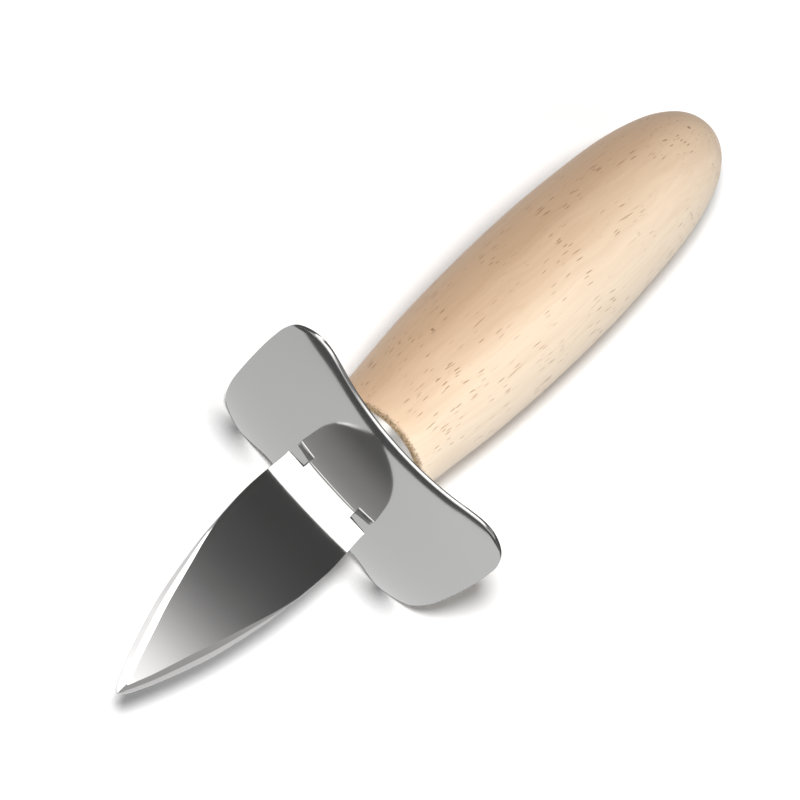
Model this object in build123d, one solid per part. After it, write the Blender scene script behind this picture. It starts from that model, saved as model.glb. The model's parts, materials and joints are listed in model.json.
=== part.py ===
from build123d import *
from math import asin, atan, degrees, radians, sqrt, tan
import os

# Oyster knife with a flat pointed blade, a curved steel hand guard, a steel
# ferrule and a turned beech handle. It lies as on a table, on the two lower
# lobes of its guard and on the underside of its handle. Millimetres, Z up,
# X across, the long axis along Y with the tip towards -Y.
# Each piece is drawn with the knife's axis on Y and the guard's front at zero.

# Blade, one flat steel plate with its neck and tang
BLADE_LENGTH = 58.3
BLADE_WIDTH = 20.6
BLADE_THICKNESS = 2.0
TIP_THICKNESS = 1.1
TAPER_START = 14.0
SHOULDER_GAP = 1.0
SHOULDER_WIDTH = 19.8
SHOULDER_CORNER_RADIUS = 0.9
BEVEL_DEPTH = 0.37
BEVEL_ANGLE = 10.0
NECK_WIDTH = 12.0
TANG_WIDTH = 8.0
TANG_END = 66.0

# Rows along the edge: place from the guard to the tip, half width, ground depth.
EDGE_SHARES = [
    (0.117, 0.983, -0.8),
    (0.197, 1.000, -0.6),
    (0.254, 0.995, -0.35),
    (0.307, 0.976, -0.13),
    (0.366, 0.949, 0.06),
    (0.448, 0.903, 0.33),
    (0.524, 0.840, 0.57),
    (0.610, 0.757, 0.78),
    (0.685, 0.668, 0.90),
    (0.763, 0.549, 1.0),
    (0.821, 0.447, 1.0),
    (0.882, 0.335, 1.0),
    (0.932, 0.228, 1.0),
    (0.977, 0.117, 1.0),
]

# Hand guard, one sheet bent back above and below the blade, and bowed back a
# little at its sides. It sits slightly turned and off centre on the neck.
GUARD_WIDTH = 56.0
GUARD_TOP = 20.7
GUARD_BOTTOM = 15.9
GUARD_THICKNESS = 1.0
GUARD_BEND_RADIUS = 50.8
GUARD_BOW_RADIUS = 132.6
GUARD_TURN = 1.9
GUARD_SHIFT = 1.0
SLOT_CLEARANCE = 0.1

# Rows up the right side: half width, then top height if above zero, else bottom.
GUARD_SHARES = [
    (0.000, -0.700),
    (0.200, -0.702),
    (0.360, -0.712),
    (0.430, -0.735),
    (0.500, -0.805),
    (0.570, -0.905),
    (0.661, -1.000),
    (0.754, -0.965),
    (0.829, -0.870),
    (0.882, -0.745),
    (0.921, -0.528),
    (0.950, -0.277),
    (0.970, 0.019),
    (0.986, 0.246),
    (0.998, 0.480),
    (1.000, 0.610),
    (0.995, 0.745),
    (0.970, 0.835),
    (0.910, 0.915),
    (0.821, 0.977),
    (0.729, 1.000),
    (0.618, 0.993),
    (0.496, 0.972),
    (0.371, 0.954),
    (0.240, 0.942),
    (0.110, 0.936),
    (0.000, 0.935),
]
LOWEST_LOBE_SHARE = 0.661

# Ferrule, a steel tube between the guard and the handle's shoulder
FERRULE_RADIUS = 10.3
FERRULE_WALL = 0.8
SEAT_CLEARANCE = 0.05

# Handle, one turned piece of beech
HANDLE_SHOULDER = 12.2
HANDLE_END = 114.5
HANDLE_WIDTH = 28.4
SHOULDER_CHAMFER = 0.8
NOSE_SETBACK = 1.0
NOSE_CLEARANCE = 0.05
BORE_RADIUS = 4.2
BORE_SPARE_DEPTH = 2.0
GLUE_CLEARANCE = 0.03

# Rows from the shoulder to the butt: place, half width.
HANDLE_SHARES = [
    (0.098, 0.858),
    (0.217, 0.940),
    (0.336, 0.984),
    (0.455, 1.000),
    (0.573, 0.989),
    (0.692, 0.940),
    (0.790, 0.876),
    (0.870, 0.765),
    (0.930, 0.615),
    (0.975, 0.380),
]
HANDLE_FRONT_SHARE = 0.782

# Overrun of every cut past the face that it opens
OVERRUN = 1.0


def thickness_at(forward):
    taper = (BLADE_THICKNESS - TIP_THICKNESS) / (BLADE_LENGTH - TAPER_START)
    return BLADE_THICKNESS - taper * max(forward - TAPER_START, 0)


def sheet_place(across, height, depth):
    radius = GUARD_BEND_RADIUS - depth
    bent = GUARD_BEND_RADIUS - sqrt(radius**2 - height**2)
    return GUARD_BOW_RADIUS - sqrt((GUARD_BOW_RADIUS - bent) ** 2 - across**2)


ferrule_front = sheet_place(0, FERRULE_RADIUS, GUARD_THICKNESS) + SEAT_CLEARANCE
nose_front = ferrule_front + NOSE_SETBACK
nose_radius = FERRULE_RADIUS - FERRULE_WALL - NOSE_CLEARANCE
bore_end = TANG_END + BORE_SPARE_DEPTH

# Blade outline, from the tip up the right side and along the tang
edge_rows = [(BLADE_LENGTH * along, BLADE_WIDTH / 2 * half, depth) for along, half, depth in EDGE_SHARES]
shoulder_half = SHOULDER_WIDTH / 2
corner_start = SHOULDER_GAP + SHOULDER_CORNER_RADIUS
side_points = [(0, -BLADE_LENGTH)]
side_points += [(half, -forward) for forward, half, depth in reversed(edge_rows)]
side_points += [(shoulder_half, -corner_start)]
side = Spline(*side_points, tangents=[(1, 0), (0, 1)], tangent_scalars=[1, 1])
corner_top = (shoulder_half - SHOULDER_CORNER_RADIUS, -SHOULDER_GAP)
corner = TangentArc((shoulder_half, -corner_start), corner_top, tangent=(0, 1))
stem = Polyline(
    corner_top,
    (NECK_WIDTH / 2, -SHOULDER_GAP),
    (NECK_WIDTH / 2, nose_front),
    (TANG_WIDTH / 2, nose_front),
    (TANG_WIDTH / 2, TANG_END),
    (0, TANG_END),
)
half_outline = side + corner + stem
blade_face = make_face(half_outline + mirror(half_outline, about=Plane.YZ))
plate = extrude(blade_face, amount=BLADE_THICKNESS, both=True)

# Side view of the plate: even to the start of the taper, then thinner to the tip
side_view = Polyline(
    (TANG_END + OVERRUN, BLADE_THICKNESS / 2),
    (-TAPER_START, BLADE_THICKNESS / 2),
    (-BLADE_LENGTH, TIP_THICKNESS / 2),
    (-BLADE_LENGTH - OVERRUN, TIP_THICKNESS / 2),
    (-BLADE_LENGTH - OVERRUN, -TIP_THICKNESS / 2),
    (-BLADE_LENGTH, -TIP_THICKNESS / 2),
    (-TAPER_START, -BLADE_THICKNESS / 2),
    (TANG_END + OVERRUN, -BLADE_THICKNESS / 2),
    close=True,
)
plate &= extrude(Plane.YZ * make_face(side_view), amount=BLADE_WIDTH, both=True)

# Ground bevels on both edges of both faces, each a lofted wedge cut away
slope = tan(radians(BEVEL_ANGLE))


def bevel_section(forward, half, depth):
    land = thickness_at(forward) / 2 - BEVEL_DEPTH * depth
    rise = BLADE_THICKNESS / 2 + OVERRUN - land
    wedge = Polyline(
        (half + OVERRUN, land - OVERRUN * slope),
        (half + OVERRUN, land + rise),
        (half - rise / slope, land + rise),
        close=True,
    )
    return Plane(origin=(0, -forward, 0), x_dir=(1, 0, 0), z_dir=(0, -1, 0)) * make_face(wedge)


last, before = edge_rows[-1], edge_rows[-2]
past_tip = (2 * last[0] - before[0], 2 * last[1] - before[1], last[2])
wedge = loft([bevel_section(*row) for row in edge_rows[2:] + [past_tip]])
for cutter in (wedge, mirror(wedge, about=Plane.YZ)):
    plate -= cutter
    plate -= mirror(cutter, about=Plane.XY)

blade = Rot(0, -GUARD_TURN, 0) * plate


# Hand guard: the bent section, swung round an upright axis far behind it, then
# cut to its outline
reach = max(GUARD_TOP, GUARD_BOTTOM) + OVERRUN
front = sheet_place(0, reach, 0)
back = sheet_place(0, reach, GUARD_THICKNESS)
sheet_edges = [
    ThreePointArc((front, -reach), (0, 0), (front, reach)),
    Line((front, reach), (back, reach)),
    ThreePointArc((back, reach), (GUARD_THICKNESS, 0), (back, -reach)),
    Line((back, -reach), (front, -reach)),
]
bow_axis = Axis((0, GUARD_BOW_RADIUS, 0), (0, 0, 1))
swing = degrees(asin((GUARD_WIDTH / 2 + OVERRUN) / (GUARD_BOW_RADIUS - back)))
section = (Plane.YZ * make_face(sheet_edges)).rotate(bow_axis, -swing)
sheet = revolve(section, axis=bow_axis, revolution_arc=2 * swing)
guard_points = [
    (GUARD_WIDTH / 2 * half, height * (GUARD_TOP if height > 0 else GUARD_BOTTOM))
    for half, height in GUARD_SHARES
]
right_edge = Spline(*guard_points, tangents=[(1, 0), (-1, 0)])
guard_face = make_face(right_edge + mirror(right_edge, about=Plane.YZ))
guard = Pos(GUARD_SHIFT, 0, 0) * (sheet & extrude(Plane.XZ * guard_face, amount=GUARD_TOP, both=True))
slot = Box(
    NECK_WIDTH + 2 * SLOT_CLEARANCE,
    GUARD_TOP,
    BLADE_THICKNESS + 2 * SLOT_CLEARANCE,
)
guard -= Rot(0, -GUARD_TURN, 0) * slot

# Ferrule: a plain tube that the guard's back meets above and below
tube = Circle(FERRULE_RADIUS) - Circle(FERRULE_RADIUS - FERRULE_WALL)
ferrule = Pos(0, HANDLE_SHOULDER, 0) * extrude(Plane.XZ * tube, amount=HANDLE_SHOULDER - ferrule_front)

# Handle: turned outline, with a nose inside the ferrule and a bore for the tang
handle_half = HANDLE_WIDTH / 2
handle_length = HANDLE_END - HANDLE_SHOULDER
front_radius = handle_half * HANDLE_FRONT_SHARE
rim = (front_radius, HANDLE_SHOULDER + SHOULDER_CHAMFER)
belly_points = [rim]
belly_points += [
    (handle_half * half, HANDLE_SHOULDER + handle_length * along) for along, half in HANDLE_SHARES
]
belly_points += [(0, HANDLE_END)]
belly = Spline(*belly_points, tangents=[(0.25, 1), (-1, 0)])
inside = Polyline(
    (0, HANDLE_END),
    (0, bore_end),
    (BORE_RADIUS, bore_end),
    (BORE_RADIUS, nose_front),
    (nose_radius, nose_front),
    (nose_radius, HANDLE_SHOULDER),
    (front_radius - SHOULDER_CHAMFER, HANDLE_SHOULDER),
    rim,
)
handle = revolve(make_face(belly + inside), axis=Axis.Y)

# Glue that fills the bore round the tang
plug = Circle(BORE_RADIUS - GLUE_CLEARANCE)
glue = Pos(0, bore_end, 0) * extrude(Plane.XZ * plug, amount=bore_end - nose_front)
glue -= blade

# Lean of the knife on a table: a line from the guard's lobes to the handle
lobe_across = GUARD_WIDTH / 2 * LOWEST_LOBE_SHARE
lobe_foot = sheet_place(lobe_across, GUARD_BOTTOM, GUARD_THICKNESS)
TOUCH_SAMPLES = 200
belly_samples = [belly.position_at(step / TOUCH_SAMPLES) for step in range(TOUCH_SAMPLES)]
lean = degrees(atan(min((GUARD_BOTTOM - p.X) / (p.Y - lobe_foot) for p in belly_samples)))

pieces = {
    "blade": blade,
    "hand_guard": guard,
    "ferrule": ferrule,
    "handle": handle,
    "tang_adhesive": glue,
}
leaned = {name: Rot(-lean, 0, 0) * piece for name, piece in pieces.items()}
box = Compound(children=[Compound(piece.wrapped) for piece in leaned.values()]).bounding_box()
middle = box.center()
to_table = Pos(-middle.X, -middle.Y, -box.min.Z)

os.makedirs("parts", exist_ok=True)
for name, piece in leaned.items():
    export_step(to_table * piece, f"parts/{name}.step")

print(f"lean {lean:.4f} deg, middle {middle.X:.4f} {middle.Y:.4f}, lift {-box.min.Z:.4f}")
print(f"size {box.size.X:.2f} x {box.size.Y:.2f} x {box.size.Z:.2f}")
print(f"ferrule front {ferrule_front:.3f}, nose front {nose_front:.3f}")
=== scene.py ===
# %% [markdown]
# # An oyster knife with a curved hand guard
# The CAD frame holds every piece at its real size. This lesson dresses it: each
# visible piece is modelled again as a smooth mesh in the same place, and gets a
# procedural material. Sizes are in millimetres while a piece is drawn, and one
# matrix brings it into the frame's metres.

# %% Load the frame
import bmesh
import bpy
import json
from math import asin, atan2, cos, degrees, pi, radians, sin, sqrt, tan
from mathutils import Matrix, Vector
from mathutils.geometry import interpolate_bezier


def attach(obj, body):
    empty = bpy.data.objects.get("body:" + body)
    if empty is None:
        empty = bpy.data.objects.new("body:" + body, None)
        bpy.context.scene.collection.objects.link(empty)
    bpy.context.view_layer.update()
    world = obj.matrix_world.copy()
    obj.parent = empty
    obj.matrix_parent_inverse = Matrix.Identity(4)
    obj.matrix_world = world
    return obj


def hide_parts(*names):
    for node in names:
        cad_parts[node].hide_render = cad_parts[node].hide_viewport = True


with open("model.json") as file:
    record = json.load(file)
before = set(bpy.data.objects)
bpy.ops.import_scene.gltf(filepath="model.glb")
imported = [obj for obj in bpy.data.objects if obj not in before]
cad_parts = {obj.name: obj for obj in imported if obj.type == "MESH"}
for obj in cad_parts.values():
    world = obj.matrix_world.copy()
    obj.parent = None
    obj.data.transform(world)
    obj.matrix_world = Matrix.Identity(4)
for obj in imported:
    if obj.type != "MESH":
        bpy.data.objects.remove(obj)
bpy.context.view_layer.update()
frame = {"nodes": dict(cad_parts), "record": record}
print("CAD nodes:", sorted(frame["nodes"]))

# %% [markdown]
# The knife leans on a table: two lobes of its guard and the underside of its
# handle touch the floor. It could be drawn leaning, but a straight knife is far
# easier to draw. So every piece is drawn with the knife's axis on Y and the
# guard's front at zero, and the record's mount on the flat of the blade tells
# how that straight knife was leaned, turned and moved.

# %% Where the straight knife lies in the frame
MM = 0.001
BLADE_LENGTH = 58.3
BLADE_THICKNESS = 2.0
TIP_THICKNESS = 1.1
TAPER_START = 14.0
MOUNT_FORWARD = 28.0

mount = frame["record"]["mounts"][0]
up = Vector(mount["axis"])
taper = (BLADE_THICKNESS - TIP_THICKNESS) / 2 / (BLADE_LENGTH - TAPER_START)
flat = Vector((0, -taper, 1)).normalized()
turn = asin(-up.x / flat.z)
lean = atan2(up.y, up.z) + atan2(-flat.y, flat.z * cos(turn))
level = Matrix.Rotation(-lean, 4, "X")
turned = level @ Matrix.Rotation(-turn, 4, "Y")
half_thickness = BLADE_THICKNESS / 2 - taper * (MOUNT_FORWARD - TAPER_START)
flat_spot = turned @ (Vector((0, -MOUNT_FORWARD, half_thickness)) * MM)
to_place = Matrix.Translation(Vector(mount["pos_m"]) - flat_spot)
LEVEL_PLACE = to_place @ level @ Matrix.Scale(MM, 4)
BLADE_PLACE = to_place @ turned @ Matrix.Scale(MM, 4)
print(f"lean {degrees(lean):.2f} degrees, blade turned {degrees(turn):.2f} degrees")


# %% [markdown]
# Steel, wood and glue are node materials. They could be put together by hand in
# the shader editor; a few helpers write them in short lines instead. One adds a
# node with its settings, two fill its inputs with a value or another socket, two
# do sums, and one starts a group with named sockets.

# %% Helpers for materials
def add(tree, kind, **settings):
    node = tree.nodes.new(kind)
    for name, value in settings.items():
        setattr(node, name, value)
    return node


def plug(tree, socket, value):
    if isinstance(value, bpy.types.NodeSocket):
        tree.links.new(value, socket)
    else:
        socket.default_value = value


def feed(tree, node, **inputs):
    for name, value in inputs.items():
        plug(tree, node.inputs[name.replace("_", " ")], value)
    return node


def reckon(tree, operation, *values, clamp=False):
    node = add(tree, "ShaderNodeMath", operation=operation, use_clamp=clamp)
    for socket, value in zip(node.inputs, values):
        plug(tree, socket, value)
    return node.outputs[0]


def reckon_vector(tree, operation, first, second, output="Vector"):
    node = add(tree, "ShaderNodeVectorMath", operation=operation)
    plug(tree, node.inputs[0], first)
    plug(tree, node.inputs[1], second)
    return node.outputs[output]


def object_place(tree):
    return add(tree, "ShaderNodeTexCoord").outputs["Object"]


def axes_of(tree, place):
    return feed(tree, add(tree, "ShaderNodeSeparateXYZ"), Vector=place).outputs


def new_material(name):
    material = bpy.data.materials.new(name)
    material.use_nodes = True
    tree = material.node_tree
    return material, tree, tree.nodes["Principled BSDF"]


def new_group(name, inputs, outputs):
    tree = bpy.data.node_groups.new(name, "ShaderNodeTree")
    for socket, kind, value in inputs:
        made = tree.interface.new_socket(socket, in_out="INPUT", socket_type=kind)
        if value is not None:
            made.default_value = value
    for socket, kind in outputs:
        tree.interface.new_socket(socket, in_out="OUTPUT", socket_type=kind)
    return tree, add(tree, "NodeGroupInput"), add(tree, "NodeGroupOutput")


# %% [markdown]
# Ground and tumbled steel look even from afar, but their gloss wanders a little:
# fine lines from the belt, and broad cloudy patches from handling. Both could be
# painted, yet stretched noise gives them at every scale. The group puts out a
# roughness and a height, and each metal sets how strong and how stretched.

# %% Steel finish shared by blade, guard and ferrule
CLOUD_SCALE = 90.0
LINE_RELIEF = 0.00002


def steel_finish_group():
    tree, source, sink = new_group(
        "steel_finish",
        [
            ("Vector", "NodeSocketVector", None),
            ("Line Scale", "NodeSocketVector", (1.0, 1.0, 1.0)),
            ("Roughness", "NodeSocketFloat", 0.15),
            ("Line Depth", "NodeSocketFloat", 0.05),
            ("Cloud Depth", "NodeSocketFloat", 0.05),
        ],
        [("Roughness", "NodeSocketFloat"), ("Height", "NodeSocketFloat")],
    )
    given = source.outputs
    stretched = reckon_vector(tree, "MULTIPLY", given["Vector"], given["Line Scale"])
    lines = add(tree, "ShaderNodeTexNoise")
    feed(tree, lines, Vector=stretched, Scale=1.0, Detail=3.0, Roughness=0.6)
    clouds = add(tree, "ShaderNodeTexNoise")
    feed(tree, clouds, Vector=given["Vector"], Scale=CLOUD_SCALE, Detail=2.0, Roughness=0.5)
    line_swing = reckon(tree, "SUBTRACT", lines.outputs["Fac"], 0.5)
    cloud_swing = reckon(tree, "SUBTRACT", clouds.outputs["Fac"], 0.5)
    lined = reckon(tree, "MULTIPLY_ADD", line_swing, given["Line Depth"], given["Roughness"])
    clouded = reckon(tree, "MULTIPLY_ADD", cloud_swing, given["Cloud Depth"], lined, clamp=True)
    feed(tree, sink, Roughness=clouded, Height=lines.outputs["Fac"])
    return tree


STEEL_FINISH = steel_finish_group()
print("group:", STEEL_FINISH.name)


# %% Three steels
def steel(name, colour, roughness, line_scale, line_depth, cloud_depth, bump):
    material, tree, shader = new_material(name)
    finish = add(tree, "ShaderNodeGroup", node_tree=STEEL_FINISH)
    feed(tree, finish, Vector=object_place(tree), Line_Scale=line_scale)
    feed(tree, finish, Roughness=roughness, Line_Depth=line_depth, Cloud_Depth=cloud_depth)
    height = add(tree, "ShaderNodeBump")
    feed(tree, height, Strength=bump, Distance=LINE_RELIEF, Height=finish.outputs["Height"])
    feed(tree, shader, Base_Color=(*colour, 1), Metallic=1.0)
    feed(tree, shader, Roughness=finish.outputs["Roughness"], Normal=height.outputs[0])
    print("steel:", name)
    return material


BLADE_STEEL = steel(
    "blade_steel", colour=(0.62, 0.62, 0.625), roughness=0.055,
    line_scale=(60, 3000, 60), line_depth=0.01, cloud_depth=0.02, bump=0.0,
)
GUARD_STEEL = steel(
    "guard_steel", colour=(0.50, 0.50, 0.495), roughness=0.07,
    line_scale=(2500, 2500, 2500), line_depth=0.03, cloud_depth=0.03, bump=0.03,
)
FERRULE_STEEL = steel(
    "ferrule_steel", colour=(0.70, 0.69, 0.67), roughness=0.38,
    line_scale=(300, 300, 5000), line_depth=0.05, cloud_depth=0.04, bump=0.08,
)


# %% [markdown]
# The handle is one turned stick of beech, sanded and left bare. Its colour turns
# from tan on one side of the stick to cream on the other: painted shade on the tan
# side and painted light on the cream side, over the wood's own tone that wanders
# at random. It has short dark pores along the grain and two pin knots; the cut
# front edge is rough and brown. A photo texture would stretch round the turned
# shape. Patterns in solid space, drawn out along the grain, come to the surface
# wherever it cuts them, as they do on the lathe.

# %% Patterns for wood
def mixed(tree, kind, share, first, second):
    mix = add(tree, "ShaderNodeMix", data_type="RGBA", blend_type=kind)
    for number, value in ((0, share), (6, first), (7, second)):
        plug(tree, mix.inputs[number], value)
    return mix.outputs[2]


def colour_ramp(tree, share, stops):
    ramp = add(tree, "ShaderNodeValToRGB")
    elements = ramp.color_ramp.elements
    while len(elements) < len(stops):
        elements.new(0.5)
    for element, (position, colour) in zip(elements, stops):
        element.position = position
        element.color = (*colour, 1)
    plug(tree, ramp.inputs[0], share)
    return ramp.outputs[0]


def ranged(tree, value, low, high):
    span = add(tree, "ShaderNodeMapRange")
    return feed(tree, span, Value=value, From_Min=low, From_Max=high).outputs[0]


def noise(tree, vector, scale, detail=2.0, output="Fac"):
    node = add(tree, "ShaderNodeTexNoise")
    return feed(tree, node, Vector=vector, Scale=scale, Detail=detail).outputs[output]


def pores(tree, grain, stretch, reach, kept_from):
    cells = add(tree, "ShaderNodeTexVoronoi")
    feed(tree, cells, Vector=reckon_vector(tree, "MULTIPLY", grain, stretch), Scale=1.0)
    near = ranged(tree, cells.outputs["Distance"], reach, reach * 0.6)
    kept = ranged(tree, cells.outputs["Color"], kept_from, kept_from + 0.2)
    return reckon(tree, "MULTIPLY", near, kept)


# %% [markdown]
# Each layer of the wood is one short function: the space that follows the wavy
# grain, the painted shade and light that turn one side tan and the other cream,
# the pores in loose groups, the rough brown cut at the front, and the pin knots.
# They could sit in one long function, but apart each of them can be looked at and
# tuned by itself.

# %% Layers of beech
GRAIN_TURN = radians(3)
WAVE_SCALE = 70.0
WAVE_REACH = 0.0022
TONE_STRETCH = (1.0, 0.06, 1.0)
TONE_SCALE = 120.0
# Painted shade and light across the handle: tan on the -X side, cream on the +X side.
PAINTED_SHADE_SIDE = -0.0145
PAINTED_LIGHT_SIDE = 0.009
PAINTED_SHADE_TO_LIGHT = [
    (0.0, (0.53, 0.35, 0.21)), (0.30, (0.60, 0.41, 0.265)), (0.60, (0.78, 0.585, 0.41)),
    (0.82, (0.94, 0.755, 0.57)), (1.0, (0.98, 0.82, 0.64)),
]
SHORT_PORES = (2100.0, 260.0, 2100.0)
LONG_PORES = (1500.0, 48.0, 1500.0)
PORE_GROUP_SCALE = 130.0
BURR_FROM = 12.2
ROUGH_EDGE = 0.0008
ROUGH_BLEND = 0.0005
JAGGED_SCALE = 2200.0
JAGGED_REACH = 0.0010
KNOT_REACH = 0.00042
AXIS_SPOT = LEVEL_PLACE @ Vector((0, BURR_FROM, 0))


def grain_space(tree, place):
    upright = add(tree, "ShaderNodeMapping")
    straight = feed(tree, upright, Vector=place, Rotation=(lean, 0, GRAIN_TURN)).outputs[0]
    wave = noise(tree, straight, WAVE_SCALE, 1.0, "Color")
    wave = reckon_vector(tree, "SUBTRACT", wave, (0.5, 0.5, 0.5))
    wave = reckon_vector(tree, "MULTIPLY", wave, (WAVE_REACH, 0.0, WAVE_REACH))
    return reckon_vector(tree, "ADD", straight, wave)


# Paints shade on the -X side of the handle and light on the +X side, with the wood's random tone
# on top.
def painted_shade_across(tree, grain, across):
    tone = noise(tree, reckon_vector(tree, "MULTIPLY", grain, TONE_STRETCH), TONE_SCALE, 3.0)
    side = ranged(tree, across, AXIS_SPOT.x + PAINTED_SHADE_SIDE, AXIS_SPOT.x + PAINTED_LIGHT_SIDE)
    wander = reckon(tree, "MULTIPLY_ADD", tone, 0.5, -0.25)
    return colour_ramp(tree, reckon(tree, "ADD", side, wander, clamp=True), PAINTED_SHADE_TO_LIGHT)


def pore_marks(tree, grain):
    short = pores(tree, grain, SHORT_PORES, reach=0.30, kept_from=0.50)
    long = pores(tree, grain, LONG_PORES, reach=0.18, kept_from=0.20)
    groups = ranged(tree, noise(tree, grain, PORE_GROUP_SCALE, 1.0), 0.40, 0.55)
    return reckon(tree, "MULTIPLY", reckon(tree, "MAXIMUM", short, long), groups)


def rough_cut(tree, place, along):
    jagged = reckon(tree, "MULTIPLY_ADD", noise(tree, place, JAGGED_SCALE), JAGGED_REACH, along)
    edge = AXIS_SPOT.y + ROUGH_EDGE
    return ranged(tree, jagged, edge + ROUGH_BLEND, edge)


def pin_knot(tree, place, spot):
    apart = reckon_vector(tree, "DISTANCE", place, spot, "Value")
    return ranged(tree, apart, KNOT_REACH, KNOT_REACH / 2)


# %% Beech
STREAK_STRETCH = (1.0, 0.03, 1.0)
STREAK_SCALE = 1400.0
STREAK_VEIL = [(0.3, (0.955, 0.935, 0.915)), (0.6, (1, 1, 1))]
PORE_TINT = (0.60, 0.50, 0.42, 1)
BURR_SCALE = 3500.0
BURR_BROWNS = [(0.35, (0.14, 0.09, 0.05)), (0.65, (0.42, 0.31, 0.19))]
PIN_KNOTS = [(-0.00957, 0.00415, 0.02518), (-0.00396, 0.07723, 0.02233)]
KNOT_BROWN = (0.30, 0.19, 0.11, 1)
PORE_RELIEF = 0.00006
SANDED_FUZZ = 0.15


def beech():
    material, tree, shader = new_material("beech")
    place = object_place(tree)
    axes = axes_of(tree, place)
    grain = grain_space(tree, place)
    streaks = noise(tree, reckon_vector(tree, "MULTIPLY", grain, STREAK_STRETCH), STREAK_SCALE)
    marks = pore_marks(tree, grain)

    veil = colour_ramp(tree, streaks, STREAK_VEIL)
    # The base colour holds painted shade on one side of the handle and painted light on the
    # other.
    colour = mixed(tree, "MULTIPLY", 1.0, painted_shade_across(tree, grain, axes["X"]), veil)
    colour = mixed(tree, "MULTIPLY", marks, colour, PORE_TINT)
    burr = colour_ramp(tree, noise(tree, place, BURR_SCALE), BURR_BROWNS)
    colour = mixed(tree, "MIX", rough_cut(tree, place, axes["Y"]), colour, burr)
    for spot in PIN_KNOTS:
        colour = mixed(tree, "MIX", pin_knot(tree, place, spot), colour, KNOT_BROWN)

    dents = reckon(tree, "SUBTRACT", streaks, marks)
    height = add(tree, "ShaderNodeBump")
    feed(tree, height, Strength=0.3, Distance=PORE_RELIEF, Height=dents)
    feed(tree, shader, Base_Color=colour, Roughness=0.6, Normal=height.outputs[0])
    feed(tree, shader, Sheen_Weight=SANDED_FUZZ, Sheen_Roughness=0.5)
    return material


BEECH = beech()
print("wood:", BEECH.name, "with", len(PIN_KNOTS), "pin knots")

# %% [markdown]
# The glue round the tang is out of sight, but it is a piece of the knife and
# keeps its CAD solid. It could stay plain; it gets an amber resin with a little
# cloudiness, for a reader who takes the knife apart.

# %% Resin
RESIN_AMBERS = [(0.0, (0.36, 0.24, 0.10)), (1.0, (0.55, 0.40, 0.20))]


def resin():
    material, tree, shader = new_material("adhesive")
    amber = colour_ramp(tree, noise(tree, object_place(tree), 400.0, 3.0), RESIN_AMBERS)
    feed(tree, shader, Base_Color=amber, Roughness=0.35)
    return material


adhesive = frame["nodes"]["tang_adhesive"]
adhesive.data.materials.clear()
adhesive.data.materials.append(resin())
print("resin on", adhesive.name)


# %% [markdown]
# A few helpers serve every piece. One draws a smooth line through measured points,
# the way a flexible ruler would. Two grow a skin out of rings: the first ring is
# laid down, and each later one is extruded from the ring before it. The last two
# turn a bmesh into an object, and let a piece of the knife ride on the frame and
# replace its CAD node. Edges sharper than an angle that each piece sets are
# marked, so that its smooth surfaces keep crisp borders in reflections.

# %% Helpers for lines and rings
def smooth_line(points, steps, start=None, end=None):
    knots = [Vector((*point, 0)) for point in points]
    count = len(knots)
    slopes = []
    for i in range(count):
        behind, ahead = knots[max(i - 1, 0)], knots[min(i + 1, count - 1)]
        slopes.append((ahead - behind).normalized())
    if start:
        slopes[0] = Vector((*start, 0)).normalized()
    if end:
        slopes[-1] = Vector((*end, 0)).normalized()
    line = []
    for i in range(count - 1):
        reach = (knots[i + 1] - knots[i]).length / 3
        out = knots[i] + slopes[i] * reach
        back = knots[i + 1] - slopes[i + 1] * reach
        line += interpolate_bezier(knots[i], out, back, knots[i + 1], steps + 1)[:-1]
    line.append(knots[-1])
    return [(p.x, p.y) for p in line]


def first_ring(bm, places):
    ring = [bm.verts.new(place) for place in places]
    for a, b in zip(ring, ring[1:] + ring[:1]):
        bm.edges.new((a, b))
    return ring


def next_ring(bm, ring, places):
    edges = [bm.edges.get((a, b)) for a, b in zip(ring, ring[1:] + ring[:1])]
    grown = bmesh.ops.extrude_edge_only(bm, edges=edges)["geom"]
    new_verts = [v for v in grown if isinstance(v, bmesh.types.BMVert)]
    follow = {}
    for vert in new_verts:
        for edge in vert.link_edges:
            other = edge.other_vert(vert)
            if other in ring:
                follow[other] = vert
    fresh = [follow[vert] for vert in ring]
    for vert, place in zip(fresh, places):
        vert.co = place
    return fresh


# %% Helpers for objects
def made_object(bm, name, material):
    mesh = bpy.data.meshes.new(name)
    bm.to_mesh(mesh)
    bm.free()
    mesh.materials.append(material)
    item = bpy.data.objects.new(name, mesh)
    bpy.context.scene.collection.objects.link(item)
    return item


def finish_piece(bm, name, node, place, material, sharp):
    bmesh.ops.recalc_face_normals(bm, faces=bm.faces)
    bmesh.ops.transform(bm, matrix=place, verts=bm.verts)
    for face in bm.faces:
        face.smooth = True
    for edge in bm.edges:
        if edge.is_manifold and edge.calc_face_angle() > radians(sharp):
            edge.smooth = False
    open_edges = sum(not edge.is_manifold for edge in bm.edges)
    piece = made_object(bm, name, material)
    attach(piece, "root")
    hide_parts(node)
    print(f"{name}: {len(piece.data.polygons)} faces, {open_edges} open edges")


# %% [markdown]
# The blade is one flat plate: neck and tang behind, two curved edges that meet
# in the point, and a narrow ground bevel along each edge of each face. It could
# be a flat face, extruded and chamfered, but the bevels widen towards the point
# and the plate thins. So it is grown as a chain of twelve-sided sections, each
# extruded from the last and set to the width, bevels and thickness at its place.

# %% Sections of the blade
NECK_HALF = 6.0
SHOULDER_GAP = 1.0
SHOULDER_ROUNDING = 0.5
TAPER_BLEND = 7.0
BEVEL_DEPTH = 0.37
BEVEL_SLOPE = tan(radians(10))
EDGE_SLOPE = tan(radians(15.5))
EDGE_SHARE = 0.40
EASED_EDGE = 0.06
THINNEST = 0.05
WIDEST_BEVEL = 0.97
NARROW_FROM = 42.0
NARROW_SHARE = 0.40


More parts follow.
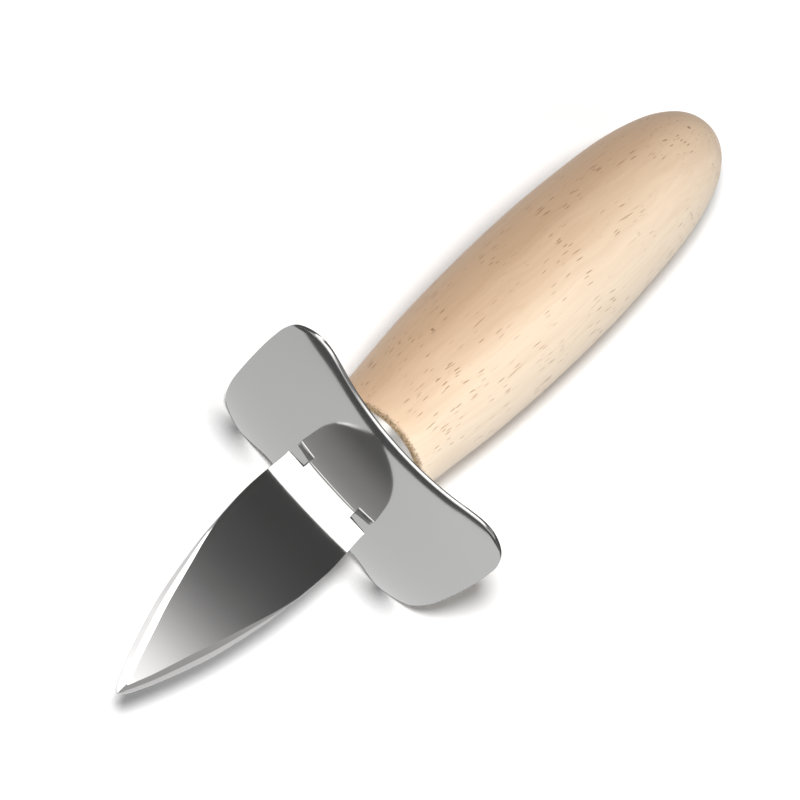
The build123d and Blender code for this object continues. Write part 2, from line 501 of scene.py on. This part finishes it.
def ground_edge(top, half, depth):
    drop = BEVEL_DEPTH * depth
    width = min(max(drop / BEVEL_SLOPE, EASED_EDGE), half * WIDEST_BEVEL)
    land = top - max(drop, EASED_EDGE)
    crest = top if drop < EASED_EDGE else min(top, land + width * BEVEL_SLOPE)
    outer = width * EDGE_SHARE
    middle = land + (crest - land) * EDGE_SHARE
    low = max(middle - outer * EDGE_SLOPE, THINNEST) if drop > EASED_EDGE else land
    return [(half, low), (half - outer, middle), (half - width, crest)]


def blade_section(forward, half, depth):
    run = forward - TAPER_START
    top = BLADE_THICKNESS / 2 - taper * (run + sqrt(run**2 + TAPER_BLEND**2)) / 2
    narrowed = 1 - NARROW_SHARE * max(forward - NARROW_FROM, 0) / (BLADE_LENGTH - NARROW_FROM)
    right = ground_edge(top, half, depth * narrowed)
    left = ground_edge(top, half, depth)
    inside = SHOULDER_ROUNDING - (forward - SHOULDER_GAP)
    if half > NECK_HALF and inside > 0:
        sunk = top - SHOULDER_ROUNDING + sqrt(SHOULDER_ROUNDING**2 - inside**2)
        right = left = [(half, sunk), (NECK_HALF + EASED_EDGE, sunk), (NECK_HALF, top)]
    ring = right + [(-x, z) for x, z in reversed(left)]
    ring += [(-x, -z) for x, z in left] + [(x, -z) for x, z in reversed(right)]
    return [Vector((x, -forward, z)) for x, z in ring]


print("bevel", round(BEVEL_DEPTH / BEVEL_SLOPE, 2), "mm wide where it is full")

# %% Outline of the blade
BLADE_HALF = 10.3
SHOULDER_HALF = 9.9
CORNER_RADIUS = 0.9
CORNER_STEPS = 6
EDGE_ROWS = [
    (0.117, 0.983, 0.0), (0.197, 1.000, 0.0), (0.254, 0.995, 0.0), (0.307, 0.976, 0.0),
    (0.366, 0.949, 0.06), (0.448, 0.903, 0.33), (0.524, 0.840, 0.57), (0.610, 0.757, 0.78),
    (0.685, 0.668, 0.90), (0.763, 0.549, 1.0), (0.821, 0.447, 1.0), (0.882, 0.335, 1.0),
    (0.932, 0.228, 1.0), (0.977, 0.117, 1.0),
]


def bevel_depth(forward):
    depths = [(0.0, 0.0)]
    depths += [(along * BLADE_LENGTH, depth) for along, _, depth in EDGE_ROWS]
    depths += [(BLADE_LENGTH, 1.0)]
    for (a, low), (b, high) in zip(depths, depths[1:]):
        if a <= forward <= b:
            return low + (high - low) * (forward - a) / (b - a)
    return depths[-1][1]


def shoulder_rows():
    rows = []
    for step in range(CORNER_STEPS):
        angle = pi / 2 * (1 - step / CORNER_STEPS)
        half = SHOULDER_HALF - CORNER_RADIUS * (1 - cos(angle))
        rows.append((SHOULDER_GAP + CORNER_RADIUS * (1 - sin(angle)), half, 0.0))
    return rows


def edge_rows():
    edge = [(SHOULDER_HALF, SHOULDER_GAP + CORNER_RADIUS)]
    edge += [(half * BLADE_HALF, along * BLADE_LENGTH) for along, half, _ in EDGE_ROWS]
    edge += [(0.0, BLADE_LENGTH)]
    line = smooth_line(edge, 6, start=(0, 1), end=(-1, 0))
    return [(forward, max(half, THINNEST), bevel_depth(forward)) for half, forward in line]


# %% Blade
TANG_HALF = 4.0
TANG_END = 66.0
NOSE_FRONT = 3.13
neck_and_tang = [
    (-TANG_END, TANG_HALF, 0.0), (-NOSE_FRONT, TANG_HALF, 0.0),
    (-NOSE_FRONT, NECK_HALF, 0.0), (SHOULDER_GAP, NECK_HALF, 0.0),
]
rows = neck_and_tang + shoulder_rows() + edge_rows()
sections = [blade_section(*row) for row in rows]
bm = bmesh.new()
ring = first_ring(bm, sections[0])
bm.faces.new(ring)
for section in sections[1:]:
    ring = next_ring(bm, ring, section)
bm.faces.new(ring)
finish_piece(bm, "blade_dressed", "blade", BLADE_PLACE, BLADE_STEEL, sharp=4.0)

# %% [markdown]
# The hand guard is a steel sheet, bent back above and below the blade and bowed
# a little at its sides. It was fitted by hand, so it sits slightly turned and off
# centre. A plane could be cut to the outline and bent, but then its rim would be
# jagged. Here rings of edges run from the outline to the slot for the neck, so
# the rim is clean, and every vertex is set on the bend.

# %% Outline, slot and bend of the hand guard
GUARD_HALF = 28.0
GUARD_TOP = 20.7
GUARD_BOTTOM = 15.9
BEND_RADIUS = 50.8
BOW_RADIUS = 132.6
GUARD_SHIFT = 1.0
SLOT_HALF_WIDTH = 6.1
SLOT_HALF_HEIGHT = 1.1
LOWER_CORNER = 0.42
UPPER_CORNER = 0.50
GUARD_ROWS = [
    (0.000, -0.700), (0.200, -0.702), (0.360, -0.712), (0.430, -0.735), (0.500, -0.805),
    (0.570, -0.905), (0.661, -1.000), (0.754, -0.965), (0.829, -0.870), (0.882, -0.745),
    (0.921, -0.528), (0.950, -0.277), (0.970, 0.019), (0.986, 0.246), (0.998, 0.480),
    (1.000, 0.610), (0.995, 0.745), (0.970, 0.835), (0.910, 0.915), (0.821, 0.977),
    (0.729, 1.000), (0.618, 0.993), (0.496, 0.972), (0.371, 0.954), (0.240, 0.942),
    (0.110, 0.936), (0.000, 0.935),
]


def bend(x, z):
    bent = BEND_RADIUS - sqrt(BEND_RADIUS**2 - z**2)
    return BOW_RADIUS - sqrt((BOW_RADIUS - bent) ** 2 - x**2)


def both_sides(right):
    return right + [(-x, z) for x, z in reversed(right[1:-1])]


def guard_outline():
    points = []
    for half, rise in GUARD_ROWS:
        points.append((half * GUARD_HALF, rise * (GUARD_TOP if rise > 0 else GUARD_BOTTOM)))
    return both_sides(smooth_line(points, 5, start=(1, 0), end=(-1, 0)))


def slot_outline(count):
    steps = count // 2
    right = []
    for step in range(steps + 1):
        share = step / steps
        if share < LOWER_CORNER:
            right.append((SLOT_HALF_WIDTH * share / LOWER_CORNER, -SLOT_HALF_HEIGHT))
        elif share < UPPER_CORNER:
            rise = (share - LOWER_CORNER) / (UPPER_CORNER - LOWER_CORNER)
            right.append((SLOT_HALF_WIDTH, SLOT_HALF_HEIGHT * (2 * rise - 1)))
        else:
            right.append((SLOT_HALF_WIDTH * (1 - share) / (1 - UPPER_CORNER), SLOT_HALF_HEIGHT))
    return [
        (cos(turn) * x - sin(turn) * z - GUARD_SHIFT, sin(turn) * x + cos(turn) * z)
        for x, z in both_sides(right)
    ]


print("guard bent back", round(bend(0, GUARD_TOP), 1), "mm at its top")

# %% Hand guard
RINGS = 44
GUARD_THICKNESS = 1.0
RIM_ROUNDING = 0.48
RIM_STEPS = 6
RIM_ANGLE = 50

bm = bmesh.new()
outline = guard_outline()
slot = slot_outline(len(outline))
ring = None
for step in range(RINGS + 1):
    inward = step / RINGS
    places = []
    for rim_spot, slot_spot in zip(outline, slot):
        x, z = Vector(rim_spot).lerp(Vector(slot_spot), inward)
        places.append(Vector((x + GUARD_SHIFT, bend(x, z), z)))
    ring = next_ring(bm, ring, places) if ring else first_ring(bm, places)
bmesh.ops.recalc_face_normals(bm, faces=bm.faces)
if sum(face.normal.y for face in bm.faces) > 0:
    bmesh.ops.reverse_faces(bm, faces=bm.faces)
bmesh.ops.solidify(bm, geom=bm.faces, thickness=GUARD_THICKNESS)
rims = [e for e in bm.edges if e.is_manifold and e.calc_face_angle() > radians(RIM_ANGLE)]
bmesh.ops.bevel(
    bm, geom=rims, offset=RIM_ROUNDING, segments=RIM_STEPS, profile=0.5,
    affect="EDGES", material=-1, clamp_overlap=True,
)
finish_piece(
    bm, "guard_dressed", "hand_guard", LEVEL_PLACE, GUARD_STEEL, sharp=35.0,
)

# %% [markdown]
# The ferrule is a short piece of steel tube that keeps the wood from splitting.
# A cylinder with a hole would do, but its cut ends would be razor sharp. Turning
# a small section, with its corners eased, round the axis gives a real tube.

# %% Ferrule
FERRULE_RADIUS = 10.3
FERRULE_WALL = 0.8
FERRULE_FRONT = 2.13
FERRULE_EASE = 0.2
EASE_STEPS = 4
HANDLE_SHOULDER = 11.85
TURN_STEPS = 128


def eased_corner(corner, before, after, radius):
    start = corner + (before - corner).normalized() * radius
    end = corner + (after - corner).normalized() * radius
    points = []
    for step in range(EASE_STEPS + 1):
        share = step / EASE_STEPS
        points.append(start.lerp(corner, share).lerp(corner.lerp(end, share), share))
    return [tuple(point) for point in points]


def turned_on_lathe(profile, closed):
    bm = bmesh.new()
    verts = [bm.verts.new((radius, along, 0)) for radius, along in profile]
    pairs = list(zip(verts, verts[1:]))
    if closed:
        pairs.append((verts[-1], verts[0]))
    edges = [bm.edges.new(pair) for pair in pairs]
    bmesh.ops.spin(
        bm, geom=verts + edges, cent=(0, 0, 0), axis=(0, 1, 0), dvec=(0, 0, 0), angle=2 * pi,
        steps=TURN_STEPS, use_merge=True, use_normal_flip=False, use_duplicate=False,
    )
    bmesh.ops.remove_doubles(bm, verts=bm.verts, dist=0.001)
    return bm


ferrule_bore = FERRULE_RADIUS - FERRULE_WALL
tube = [
    Vector((FERRULE_RADIUS, FERRULE_FRONT)), Vector((FERRULE_RADIUS, HANDLE_SHOULDER)),
    Vector((ferrule_bore, HANDLE_SHOULDER)), Vector((ferrule_bore, FERRULE_FRONT)),
]
tube_profile = []
for i, corner in enumerate(tube):
    tube_profile += eased_corner(corner, tube[i - 1], tube[(i + 1) % len(tube)], FERRULE_EASE)
bm = turned_on_lathe(tube_profile, closed=True)
finish_piece(
    bm, "ferrule_dressed", "ferrule", LEVEL_PLACE, FERRULE_STEEL, sharp=35.0,
)

# %% [markdown]
# The handle is turned between centres: a narrow shoulder, a long swelling belly
# and a round butt. It could be a stretched sphere with its ends reshaped, but it is
# drawn as the lathe makes it: one outline spun round the axis, with the nose inside
# the ferrule and the bore for the tang.

# %% Handle
HANDLE_END = 114.5
HANDLE_HALF = 14.2
SHOULDER_CHAMFER = 0.9
FRONT_SHARE = 0.782
NOSE_RADIUS = 9.45
BORE_RADIUS = 4.2
BORE_END = 68.0
HANDLE_ROWS = [
    (0.098, 0.858), (0.217, 0.940), (0.336, 0.984), (0.455, 1.000), (0.573, 0.989),
    (0.692, 0.940), (0.790, 0.876), (0.870, 0.765), (0.930, 0.615), (0.975, 0.380),
]

front_radius = HANDLE_HALF * FRONT_SHARE
span = HANDLE_END - HANDLE_SHOULDER
belly = [(front_radius, HANDLE_SHOULDER + SHOULDER_CHAMFER)]
belly += [(half * HANDLE_HALF, HANDLE_SHOULDER + along * span) for along, half in HANDLE_ROWS]
belly += [(0, HANDLE_END)]
profile = [
    (0, BORE_END), (BORE_RADIUS, BORE_END), (BORE_RADIUS, NOSE_FRONT), (NOSE_RADIUS, NOSE_FRONT),
    (NOSE_RADIUS, HANDLE_SHOULDER), (front_radius - SHOULDER_CHAMFER, HANDLE_SHOULDER),
]
profile += smooth_line(belly, 10, start=(0.25, 1), end=(-1, 0))
bm = turned_on_lathe(profile, closed=False)
finish_piece(bm, "handle_dressed", "handle", LEVEL_PLACE, BEECH, sharp=30.0)

# %% [markdown]
# The set is a white table in soft light. It could be one white material, but steel
# mirrors the table, and a mirrored sheet of paper is never as white as a cleaned-up
# background. So the camera sees plain white that still takes the knife's shadow,
# deeper where the guard touches it. Reflections see a slightly darker sheet that
# glows instead of taking light, darker towards -X as painted shade, and dark
# behind the knife.

# %% Floor
FLOOR_SIZE = 6.0
SEEN_WHITE = 1.10
CONTACT_REACH = 0.008
CONTACT_TONES = [(0.40, 0.12), (0.95, SEEN_WHITE)]
MIRRORED_WIDTH = 0.05
MIRRORED_TONES = [(0.0, 0.82), (1.0, 0.97)]
MIRRORED_BEHIND = (0.12, 0.12, 0.12, 1)
BEHIND_BLEND = 0.02


def grey_ramp(tree, share, stops):
    return colour_ramp(tree, share, [(position, (tone,) * 3) for position, tone in stops])


def picked(tree, share, first, second):
    mix = add(tree, "ShaderNodeMixShader")
    for socket, value in zip(mix.inputs, (share, first.outputs[0], second.outputs[0])):
        plug(tree, socket, value)
    return mix.outputs[0]


def floor_white():
    material, tree, shader = new_material("floor_white")
    tree.nodes.remove(shader)
    axes = axes_of(tree, object_place(tree))
    # Painted shade: the glowing sheet that reflections see darkens towards -X.
    across = ranged(tree, axes["X"], -MIRRORED_WIDTH, MIRRORED_WIDTH)
    sheet = grey_ramp(tree, across, MIRRORED_TONES)
    behind = ranged(tree, axes["Y"], 0.0, BEHIND_BLEND)
    mirrored = add(tree, "ShaderNodeEmission")
    feed(tree, mirrored, Color=mixed(tree, "MIX", behind, sheet, MIRRORED_BEHIND))
    contact = add(tree, "ShaderNodeAmbientOcclusion", samples=8)
    feed(tree, contact, Distance=CONTACT_REACH)
    seen = add(tree, "ShaderNodeBsdfDiffuse")
    feed(tree, seen, Color=grey_ramp(tree, contact.outputs["AO"], CONTACT_TONES))
    glossy = add(tree, "ShaderNodeLightPath").outputs["Is Glossy Ray"]
    feed(tree, tree.nodes["Material Output"], Surface=picked(tree, glossy, seen, mirrored))
    material.cycles.emission_sampling = "NONE"
    return material


bm = bmesh.new()
bmesh.ops.create_grid(bm, x_segments=1, y_segments=1, size=FLOOR_SIZE / 2)
floor = made_object(bm, "floor", floor_white())
print("floor", FLOOR_SIZE, "m wide")

# %% [markdown]
# Polished steel shows nothing but what stands round it, so a photographer builds
# a tent of cards: a white one overhead, dark ones in front and behind, a white one
# on the left and a low one behind. They could be separate planes; one large dome
# with a tone for each direction is easier to tune. The stops give the tone from
# front over the top to the back, from left to right, and how far the overhead card
# is cropped at its sides. Only reflections see the dome.

# %% Reflection tent
TENT_RADIUS = 0.8
TENT_CENTRE = Vector((0, -0.028, 0.02))
TENT_WHITE = (1, 0.985, 0.97, 1)
BRIGHTEST = 3.6
OVER_STOPS = [
    (0.0, 0.05), (0.13, 0.07), (0.21, 0.15), (0.27, 0.19), (0.32, 0.25), (0.345, 1.0),
    (0.58, 1.0), (0.637, 0.52), (0.6435, 0.40), (0.6475, 0.245), (0.6505, 0.149),
    (0.6545, 0.078), (0.6585, 0.042), (0.663, 0.029), (0.672, 0.021), (0.875, 0.02),
    (0.90, 0.80), (0.925, 0.80), (0.95, 0.05), (1.0, 0.05),
]
SIDE_STOPS = [
    (0.0, 0.16), (0.32, 0.16), (0.335, 0.8), (0.39, 0.8), (0.46, 0.02), (0.55, 0.02),
    (0.64, 0.125), (0.69, 0.15), (0.715, 0.24), (1.0, 0.26),
]
CROP_STOPS = [(0.0, 0.5), (0.30, 0.5), (0.335, 1.0), (0.56, 1.0), (0.61, 0.12), (1.0, 0.12)]


def glow_only(tree, shader, colour, strength):
    tree.nodes.remove(shader)
    glow = add(tree, "ShaderNodeEmission")
    feed(tree, glow, Color=colour, Strength=strength)
    feed(tree, tree.nodes["Material Output"], Surface=glow.outputs[0])


def reflected_only(bm, name, material, place):
    material.cycles.emission_sampling = "NONE"
    item = made_object(bm, name, material)
    item.location = place
    item.visible_camera = False
    item.visible_diffuse = False
    item.visible_shadow = False
    item.visible_transmission = False
    item.visible_volume_scatter = False
    print(name, "is seen by reflections only")


def tent_cards():
    material, tree, shader = new_material("tent_cards")
    axes = axes_of(tree, object_place(tree))
    forward = reckon(tree, "MULTIPLY", axes["Y"], -1.0)
    over = reckon(tree, "ARCTAN2", axes["Z"], forward)
    over_share = reckon(tree, "DIVIDE", over, pi, clamp=True)
    side_share = reckon(tree, "MULTIPLY_ADD", axes["X"], 0.5 / TENT_RADIUS, 0.5, clamp=True)
    overhead = grey_ramp(tree, over_share, OVER_STOPS)
    cropped = reckon(tree, "MULTIPLY", overhead, grey_ramp(tree, side_share, CROP_STOPS))
    brightest = reckon(tree, "MAXIMUM", cropped, grey_ramp(tree, side_share, SIDE_STOPS))
    glow_only(tree, shader, TENT_WHITE, reckon(tree, "MULTIPLY", brightest, BRIGHTEST))
    return material


bm = bmesh.new()
bmesh.ops.create_uvsphere(bm, u_segments=48, v_segments=24, radius=TENT_RADIUS)
reflected_only(bm, "tent", tent_cards(), TENT_CENTRE)

# %% [markdown]
# A low dark card, bent round in front of the knife, draws the black line under the
# guard's rim. A straight card would give a straight line; this one's foot is a
# smooth line of its own, so that its mirror image follows the rim.

# %% Low card in front
CARD_FEET = [
    (-0.40, -0.20), (-0.10, -0.160), (-0.061, -0.166), (-0.042, -0.178), (-0.019, -0.162),
    (0.002, -0.149), (0.023, -0.154), (0.051, -0.170), (0.069, -0.190), (0.087, -0.197),
    (0.40, -0.20),
]
CARD_HEIGHT = 0.02
CARD_TONE = 0.12

bm = bmesh.new()
feet = [bm.verts.new((x, y, 0)) for x, y in smooth_line(CARD_FEET, 4)]
foot_edges = [bm.edges.new(pair) for pair in zip(feet, feet[1:])]
grown = bmesh.ops.extrude_edge_only(bm, edges=foot_edges)["geom"]
raised = [item for item in grown if isinstance(item, bmesh.types.BMVert)]
bmesh.ops.translate(bm, vec=(0, 0, CARD_HEIGHT), verts=raised)
dark_card, tree, shader = new_material("dark_card")
glow_only(tree, shader, (1, 1, 1, 1), CARD_TONE)
reflected_only(bm, "front_card", dark_card, (0, 0, 0))

# %% [markdown]
# The camera stands in front of the point and high above it, far off with a long
# lens, and rolled so that the knife crosses the picture from corner to corner. It
# could be aimed by eye; here its place is measured from the guard's front on the
# straight knife: elevation above the blade's flat, turn to the side, roll, and the
# pixel where that spot lands.

# %% Camera
ELEVATION = radians(58.5)
SIDEWAYS = radians(-4.02)
ROLL = radians(-50.904)
DISTANCE = 875.6
FOCAL_PIXELS = 4982.2
PICTURE_PIXELS = 800
SENSOR = 36.0
SPOT = (329.31, 489.39)
NEAR_CLIP = 0.01
FAR_CLIP = 20

seat = Vector((
    sin(SIDEWAYS) * cos(ELEVATION), -cos(SIDEWAYS) * cos(ELEVATION), sin(ELEVATION),
))
out = seat.normalized()
across = Vector((0, 0, 1)).cross(out).normalized()
rolled = Matrix.Rotation(ROLL, 3, "Z") @ Matrix((across, out.cross(across), out))
centre = PICTURE_PIXELS / 2
spot_right, spot_down = (SPOT[0] - centre) / FOCAL_PIXELS, (SPOT[1] - centre) / FOCAL_PIXELS
aim = Vector((spot_right, -spot_down, -1)).normalized()
swing = Vector((0, 0, -1)).rotation_difference(aim).to_matrix()
facing = (swing @ rolled).transposed().to_4x4()

data = bpy.data.cameras.new("camera")
data.sensor_width = SENSOR
data.lens = FOCAL_PIXELS * SENSOR / PICTURE_PIXELS
data.clip_start = NEAR_CLIP
data.clip_end = FAR_CLIP
camera = bpy.data.objects.new("camera", data)
camera.matrix_world = to_place @ turned @ Matrix.Translation(seat * DISTANCE * MM) @ facing
bpy.context.scene.collection.objects.link(camera)
bpy.context.scene.camera = camera
bpy.context.scene.view_settings.view_transform = "Standard"
print("lens", round(data.lens, 1), "mm")

# %% [markdown]
# The shadow hugs the knife's lower edges, so the main lamp must hang near the
# camera and a little above it. A wide soft lamp on the right lightens that side of
# the handle. A bright world could do the rest, but it would wash the shadow out, so
# it is faint on the knife and plain white only where it is seen or mirrored.

# %% Lamps
LAMP_ASIDE = 0.03
LAMP_LIFT = 0.15
LAMP_SIZE = 0.18
LAMP_POWER = 8.4
SIDE_PLACE = (0.75, 0.15, 0.62)
SIDE_SIZE = 0.6
SIDE_POWER = 2.25


def soft_lamp(name, place, size, power):
    data = bpy.data.lights.new(name, "AREA")
    data.shape = "DISK"
    data.size = size
    data.energy = power
    lamp = bpy.data.objects.new(name, data)
    lamp.location = place
    lamp.rotation_euler = (-Vector(place)).to_track_quat("-Z", "Y").to_euler()
    lamp.visible_glossy = False
    bpy.context.scene.collection.objects.link(lamp)
    print(f"{name} lamp: {power} W")


key_place = camera.matrix_world @ Vector((LAMP_ASIDE, LAMP_LIFT, 0))
soft_lamp("key", key_place, LAMP_SIZE, LAMP_POWER)
soft_lamp("side", SIDE_PLACE, SIDE_SIZE, SIDE_POWER)

# %% World
WORLD_FILL = 0.05

world = bpy.data.worlds.new("studio")
bpy.context.scene.world = world
world.use_nodes = True
tree = world.node_tree
fill = feed(tree, tree.nodes["Background"], Color=(1, 1, 1, 1), Strength=WORLD_FILL)
plain = add(tree, "ShaderNodeBackground")
feed(tree, plain, Color=(1, 1, 1, 1), Strength=1.0)
rays = add(tree, "ShaderNodeLightPath").outputs
shown = reckon(tree, "MAXIMUM", rays["Is Camera Ray"], rays["Is Glossy Ray"])
shown = reckon(tree, "MAXIMUM", shown, rays["Is Transmission Ray"])
feed(tree, tree.nodes["World Output"], Surface=picked(tree, shown, fill, plain))
print("world fill", WORLD_FILL)
